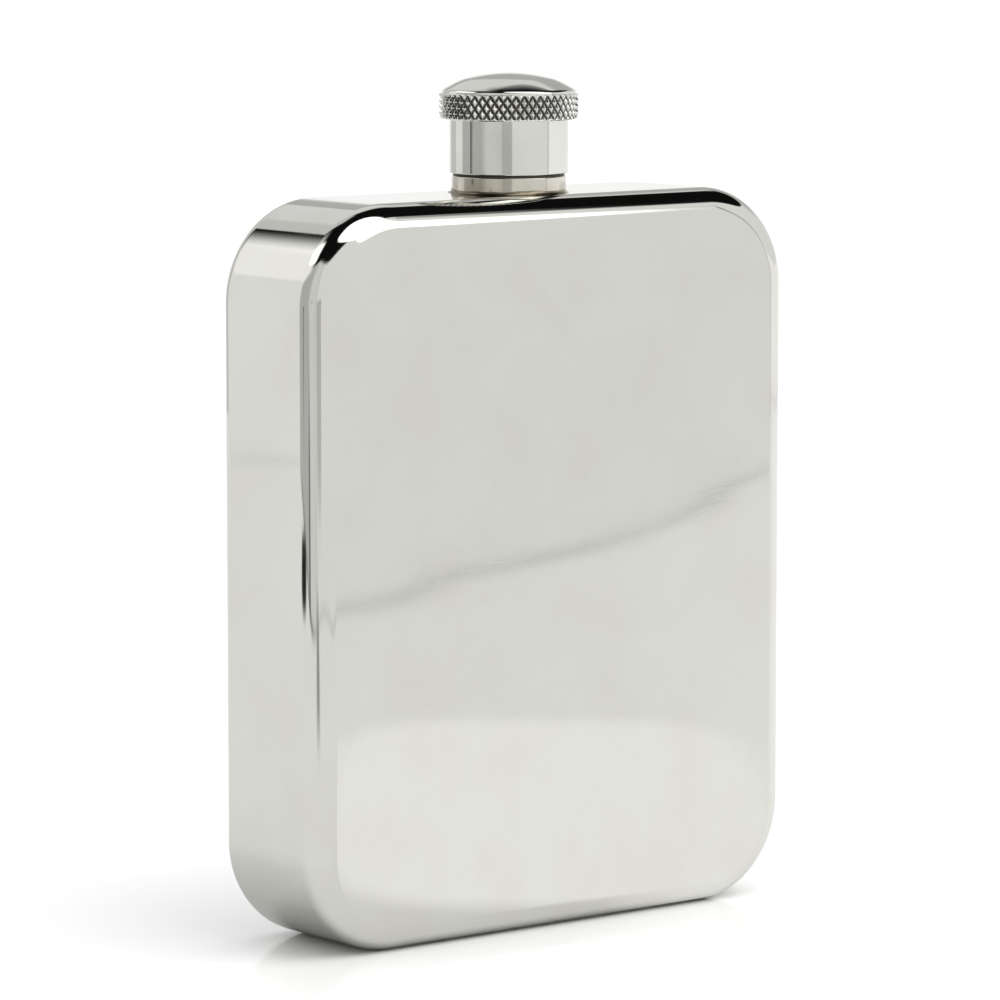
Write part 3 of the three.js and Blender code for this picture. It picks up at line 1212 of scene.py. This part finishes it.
ROUND = Coordinates.ROUND
OVERHEAD = Coordinates.OVERHEAD
FLOOR = Coordinates.FLOOR
PANELS = (
    Panel(ROUND, (116, -11.5), (73, 11.5), 1.0, 6, 0.04),
    Panel(ROUND, (150, -5), (28, 18), 0.98, 4, 0.1),
    Panel(ROUND, (141, 27), (45, 13), 0.47, 4, 0.3),
    Panel(ROUND, (-176, 0), (14, 60), 0.62, 6, 0.05),
    Panel(ROUND, (-150, 0), (12, 70), 0.86, 6, 0.04),
    Panel(ROUND, (-111, 0), (29, 60), 0.5, 8, 0.1),
    Panel(ROUND, (-67, 0), (15, 60), 0.68, 8, 0.1),
    Panel(ROUND, (-75, 15), (14, 30), 0.72, 3, 0.5),
    Panel(OVERHEAD, (-0.3, 0.2), (0.74, 0.98), 0.005, 3.2, 0.12),
    Panel(OVERHEAD, (-0.25, -1.9), (0.2, 0.35), 0.4, 4, 0.4),
    Panel(OVERHEAD, (-0.265, -0.85), (0.205, 0.85), 0.005, 8, 0.06),
    Panel(OVERHEAD, (-1.25, -0.55), (0.13, 0.85), 0.005, 2.5, 0.25, -28),
    Panel(OVERHEAD, (0.5, 0.1), (0.6, 0.62), 0.005, 4, 0.06),
    Panel(OVERHEAD, (1.47, 0.2), (0.6, 0.86), 0.005, 2.6, 0.1),
    Panel(OVERHEAD, (0.1, -1.45), (0.16, 0.95), 0.62, 4, 0.15),
    Panel(OVERHEAD, (0.62, -1.45), (0.4, 0.95), 0.75, 4, 0.15),
    Panel(OVERHEAD, (-1.25, -1.9), (0.75, 1.3), 1.02, 4, 0.25, -20),
    Panel(OVERHEAD, (-0.82, -0.95), (0.33, 0.55), 1.7, 5, 0.2),
    Panel(OVERHEAD, (6.0, 8.75), (0.75, 9.6), 1.7, 3, 0.012, -35.8),
    Panel(OVERHEAD, (0.42, 1.1), (0.42, 1.15), 1.7, 3, 0.03, -33),
    Panel(ROUND, (43.9, 4), (0.8, 15), 0.36, 3, 0.3),
    Panel(ROUND, (-115, -1.5), (3.2, 2.4), 0.35, 4, 0.2),
    Panel(ROUND, (-117, -3), (1.2, 3.2), 0.0, 4, 0.2),
    Panel(ROUND, (-42, -1), (10, 6), 0.52, 6, 0.06),
    Panel(ROUND, (-88, -7.6), (4, 1.8), 0.2, 2.5, 0.4),
    Panel(ROUND, (-75, 5), (1.6, 1.6), 0.25, 2.5, 0.5),
)
PATCHES = (
    Patch(FLOOR, (0.062, -0.092), (0.038, 0.088), 0.97, 4.0, 0.1, 38.0, "light_pool", 0.0006),
    Patch(FLOOR, (-0.41, 0.2), (0.07, 0.1), 0.02, 3.0, 0.3, 154.0, "left_shade", 0.0007),
    Patch(FLOOR, (-0.27, -0.19), (0.09, 0.03), 0.35, 3.0, 0.5, 215.0, "front_shade", 0.0008),
)
LAMPS = (("key_light", 35, 58, 50, 1.6), ("top_light", 0, 88, 110, 0.5))
WALL_LIGHT = 0.82
CREASE_PROFILE = (
    (-16.0, 0.0), (-12.5, 0.16), (-8.0, 0.5), (-3.5, 0.84), (0.0, 1.0), (4.5, 0.84), (11.0, 0.5),
    (17.0, 0.16), (21.0, 0.0))


def panel_group() -> Tree:
    """Builds the group that masks one rounded, soft-edged panel.

    Returns:
        A shader group giving the panel's Mask.
    """
    c, given = new_group("studio_panel", "ShaderNodeTree", (
        "U", "V", "Centre U", "Centre V", "Half U", "Half V", "Turn", "Roundness", "Softness",
    ), ("Mask",))
    u, v = c.minus(given["U"], given["Centre U"]), c.minus(given["V"], given["Centre V"])
    cosine, sine = c.math("COSINE", given["Turn"]), c.math("SINE", given["Turn"])
    across = c.total(c.times(u, cosine), c.times(v, sine))
    along = c.minus(c.times(v, cosine), c.times(u, sine))
    powers = []
    for value, half in ((across, given["Half U"]), (along, given["Half V"])):
        share = c.math("DIVIDE", c.math("ABSOLUTE", value), half)
        powers.append(c.math("POWER", c.math("MINIMUM", share, 4.0), given["Roundness"]))
    far = c.math("POWER", c.total(*powers), c.math("DIVIDE", 1.0, given["Roundness"]))
    soft = given["Softness"]
    c.add("NodeGroupOutput", {"Mask": c.ramp(far, c.minus(1.0, soft), c.total(1.0, soft), 1.0, 0.0)})
    return c.tree


def towards(azimuth: float, elevation: float) -> Vector:
    """Returns the direction of a place given in degrees from the front towards the right, and up."""
    a, e = math.radians(azimuth), math.radians(elevation)
    return Vector((math.sin(a) * math.cos(e), -math.cos(a) * math.cos(e), math.sin(e)))


def ease(share: float) -> float:
    """Returns a smooth step of a share, held between 0 and 1."""
    held = min(max(share, 0), 1)
    return held * held * (3 - 2 * held)


@dataclass
class Studio:
    """Everything round the flask: floor, soft light, the tent that it mirrors, and the camera."""

    azimuth: float = -38.47
    elevation: float = 6.94
    distance: float = 0.8139
    lens: float = 194.4
    aim_right: float = -1.3 * MM
    aim_up: float = -0.4 * MM
    floor_half: float = 9.0
    floor_drop: float = 0.1 * MM
    floor_white: float = 0.82
    mirrored_left: float = 0.54
    mirrored_lit_right: float = 0.64
    crease_lift: float = 0.4 * MM
    crease_black: float = 0.95
    crease_right: float = 0.25
    crease_behind: float = 0.14
    black_from: float = -136.0
    black_to: float = -62.0
    steps_per_side: int = 10
    patch_reach: float = 1.6
    tent_foot: tuple[tuple[float, float], ...] = (
        (-0.06, -0.36), (0.08, -0.32), (0.175, -0.302), (0.225, -0.326), (0.262, -0.339),
        (0.3, -0.356), (0.355, -0.391), (0.41, -0.433), (0.6, -0.52), (0.75, -0.2), (0.75, 0.3),
        (0.4, 0.7), (-0.2, 0.75), (-0.4, 0.54), (-0.5, 0.3), (-0.47, 0.1), (-0.38, -0.06),
        (-0.27, -0.27), (-0.18, -0.34),
    )

    def camera(self) -> None:
        """Puts the camera where the flask is seen from its front left, a little above."""
        low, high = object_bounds()
        away = towards(self.azimuth, self.elevation)
        right = (-away).cross(Vector((0, 0, 1))).normalized()
        up = right.cross(-away)
        data = bpy.data.cameras.new("camera")
        data.lens = self.lens
        data.sensor_width = 36.0
        data.clip_start = 0.01
        made = link("camera", data)
        centre = (Vector(low) + Vector(high)) / 2
        spot = centre + away * self.distance + right * self.aim_right + up * self.aim_up
        made.matrix_world = Matrix.Translation(spot) @ Matrix((right, up, away)).transposed().to_4x4()
        bpy.context.scene.camera = made

    def world(self) -> None:
        """Builds the white tent, its dark top and its soft lamps as the world's light."""
        made = bpy.data.worlds.new("studio")
        bpy.context.scene.world = made
        made.use_nodes = True
        made.cycles.sampling_method = "NONE"
        c = Canvas(made.node_tree)
        c.tree.nodes.clear()
        x, y, z = c.split(c.add("ShaderNodeTexCoord").outputs["Generated"])
        front, above = c.times(y, -1.0), c.math("MAXIMUM", z, 0.02)
        azimuth = c.math("DEGREES", c.math("ARCTAN2", x, front))
        elevation = c.math("DEGREES", c.math("ARCSINE", z))
        overhead = c.math("DIVIDE", x, above), c.math("DIVIDE", front, above)
        tone: Value = grey(WALL_LIGHT)
        group = panel_group()
        for panel in PANELS:
            place, middle = overhead, panel.centre
            if panel.coordinates is ROUND:
                swing = c.math("WRAP", c.minus(azimuth, panel.centre[0]), 180.0, -180.0)
                place, middle = (swing, elevation), (0.0, panel.centre[1])
            mask = self.mask(c, group, place, middle, panel)
            tone = c.mix(mask, tone, grey(panel.light))
        plain = c.add("ShaderNodeBackground", {"Color": grey(1.0), "Strength": 1.0})
        tent = c.add("ShaderNodeBackground", {"Color": tone, "Strength": 1.0})
        c.end(c.add("ShaderNodeLightPath").outputs["Is Glossy Ray"], plain, tent, "World")

    def mask(self, c: Canvas, group: Tree, place: Sequence[Value], middle: Sequence[float],
             panel: Panel) -> Socket:
        """Places the panel group.

        Args:
            c: The canvas to place it on.
            group: The panel group.
            place: The two coordinates.
            middle: The panel's middle in them.
            panel: The panel.

        Returns:
            The panel's mask.
        """
        turn = math.radians(panel.turn)
        values = (*place, *middle, *panel.half, turn, panel.roundness, panel.softness)
        return c.add("ShaderNodeGroup", dict(enumerate(values)), node_tree=group).outputs[0]

    def foot_line(self) -> list[Vector]:
        """Runs a smooth closed line through the tent's foot.

        Returns:
            The points where the wall meets the floor.
        """
        points = [Vector(p) for p in self.tent_foot]
        line = []
        for i in range(len(points)):
            a, b, d, e = (points[(i + k) % len(points)] for k in (-1, 0, 1, 2))
            for k in range(self.steps_per_side):
                t = k / self.steps_per_side
                line.append(0.5 * (2 * b + (d - a) * t + (2 * a - 5 * b + 4 * d - e) * t * t
                                   + (3 * b - a - 3 * d + e) * t ** 3))
        return line

    def floor_finish(self) -> Material:
        """Makes the white glossy floor's material, with painted light that makes it brighter to the
        right where mirrored.

        Returns:
            The material.
        """
        material, c = new_material("white_floor", bare=True)
        x, y, _ = c.split(c.place())
        azimuth = c.math("DEGREES", c.math("ARCTAN2", x, c.times(y, -1.0)))
        # Painted light: where mirrored, the floor is lighter towards the right, where the key light
        # falls.
        right = c.times(c.ramp(azimuth, 35.0, 70.0), c.ramp(azimuth, 150.0, 170.0, 1.0, 0.0))
        seen = c.add("ShaderNodeBsdfPrincipled", {
            "Base Color": grey(self.floor_white), "Roughness": 0.12, "IOR": 1.3})
        tone = c.mix(right, grey(self.mirrored_left), grey(self.mirrored_lit_right))
        mirrored = c.add("ShaderNodeBsdfDiffuse", {"Color": tone})
        c.end(c.add("ShaderNodeLightPath").outputs["Is Glossy Ray"], seen, mirrored)
        return material

    def floor(self) -> None:
        """Lays the floor: the part inside the tent, and the part beyond that nothing mirrors."""
        material = self.floor_finish()
        h = self.floor_half
        inside = [(*p, 0) for p in self.foot_line()]
        square = [(x, y, -self.floor_drop) for x, y in ((-h, -h), (h, -h), (h, h), (-h, h))]
        for name, points in (("floor_near", inside), ("floor_far", square)):
            made = self.lay(name, points, [tuple(range(len(points)))], material)
        made.visible_glossy = False

    def lay(self, name: str, points: list[Point], faces: list[tuple[int, ...]],
            material: Material) -> Object:
        """Lays a flat stage piece, face up.

        Args:
            name: The piece's name.
            points: Its points.
            faces: Its faces.
            material: Its material.

        Returns:
            The new object.
        """
        mesh = bpy.data.meshes.new(name)
        mesh.from_pydata(points, [], faces)
        if mesh.polygons[0].normal.z < 0:
            mesh.flip_normals()
        mesh.materials.append(material)
        made = link(name, mesh)
        made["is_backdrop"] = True
        return made

    def card(self, c: Canvas, mask: Socket, light: float, made: Object) -> None:
        """Ends a card's material, and keeps the card out of every view but reflections.

        Args:
            c: The material's canvas.
            mask: Where the card shows.
            light: How light it is.
            made: The card.
        """
        above = c.minus(1.0, c.add("ShaderNodeNewGeometry").outputs["Backfacing"])
        glow = c.add("ShaderNodeEmission", {"Color": grey(light), "Strength": 1.0})
        c.end(c.times(mask, above), c.add("ShaderNodeBsdfTransparent"), glow)
        for ray in ("camera", "diffuse", "transmission", "volume_scatter", "shadow"):
            setattr(made, "visible_" + ray, False)

    def crease_strength(self, azimuth: float) -> float:
        """Works out how dark the crease at the wall's foot is, black only to the left.

        Args:
            azimuth: Where on the line, in degrees from the front towards the right.

        Returns:
            The darkness, from 0 to 1.
        """
        black = ease((azimuth - self.black_from) / 14) * ease((self.black_to - azimuth) / 22)
        plain = self.crease_behind if abs(azimuth) > -self.black_from else self.crease_right
        return self.crease_black * black + (1 - black) * plain

    def crease(self) -> None:
        """Lays the soft dark crease where the tent's wall meets the floor."""
        line = self.foot_line()
        count = len(line)
        strengths = [self.crease_strength(math.degrees(math.atan2(p.x, -p.y))) for p in line]
        outwards = []
        for k, point in enumerate(line):
            along = (line[(k + 1) % count] - line[k - 1]).normalized()
            out = Vector((along.y, -along.x))
            outwards.append(out * max(abs(out.dot(point.normalized())), 0.3))
        points, darks = [], []
        for reach, share in CREASE_PROFILE:
            points += [(*(p + out * reach * MM), self.crease_lift) for p, out in zip(line, outwards)]
            darks += [share * strength for strength in strengths]
        material, c = new_material("crease_shade", bare=True)
        made = self.lay("tent_crease", points, bands(len(CREASE_PROFILE), count), material)
        made.data.attributes.new("dark", "FLOAT", "POINT").data.foreach_set("value", darks)
        dark = c.add("ShaderNodeAttribute", attribute_name="dark").outputs["Fac"]
        self.card(c, dark, 0.03, made)

    def floor_patch(self, patch: Patch) -> None:
        """Lays one soft patch of light or shade on the floor, seen only in reflections.

        Args:
            patch: The patch.
        """
        turn = math.radians(patch.turn)
        cosine, sine = math.cos(turn), math.sin(turn)
        points = []
        for u, v in ((-1, -1), (1, -1), (1, 1), (-1, 1)):
            a, b = (side * half * self.patch_reach for side, half in zip((u, v), patch.half))
            points.append((patch.centre[0] + a * cosine + b * sine,
                           patch.centre[1] + a * sine - b * cosine, patch.lift))
        material, c = new_material(patch.name + "_glow", bare=True)
        made = self.lay(patch.name, points, [(0, 1, 2, 3)], material)
        group = bpy.data.node_groups["studio_panel"]
        mask = self.mask(c, group, c.split(c.place())[:2], patch.centre, patch)
        self.card(c, mask, patch.light, made)

    def lamp(self, name: str, azimuth: float, elevation: float, breadth: float,
             strength: float) -> None:
        """Adds a broad soft light on the floor that the polished metal doesn't mirror.

        Args:
            name: The light's name.
            azimuth: Where it stands, in degrees from the front towards the right.
            elevation: How high it stands, in degrees.
            breadth: How broad it looks from the flask, in degrees.
            strength: Its strength.
        """
        data = bpy.data.lights.new(name, "SUN")
        data.angle = math.radians(breadth)
        data.energy = strength
        made = link(name, data)
        made.rotation_euler = towards(azimuth, elevation).to_track_quat("Z", "Y").to_euler()
        made.visible_glossy = False

    def build(self) -> None:
        """Sets up the whole studio."""
        self.camera()
        self.world()
        self.floor()
        self.crease()
        for patch in PATCHES:
            self.floor_patch(patch)
        for lamp in LAMPS:
            self.lamp(*lamp)
        bpy.context.scene.view_settings.view_transform = "Standard"
        log.info("studio ready")


def main() -> None:
    """Builds the studio and the flask, piece by piece."""
    logging.basicConfig(level=logging.INFO, format="%(name)s: %(message)s")
    Studio().build()
    finishes = Finishes()
    finishes.make()
    body = PressedBody(finishes)
    body.build()
    neck = Neck(finishes, body)
    neck.build()
    ScrewCap(finishes, neck).build()


if __name__ == "__main__":
    main()
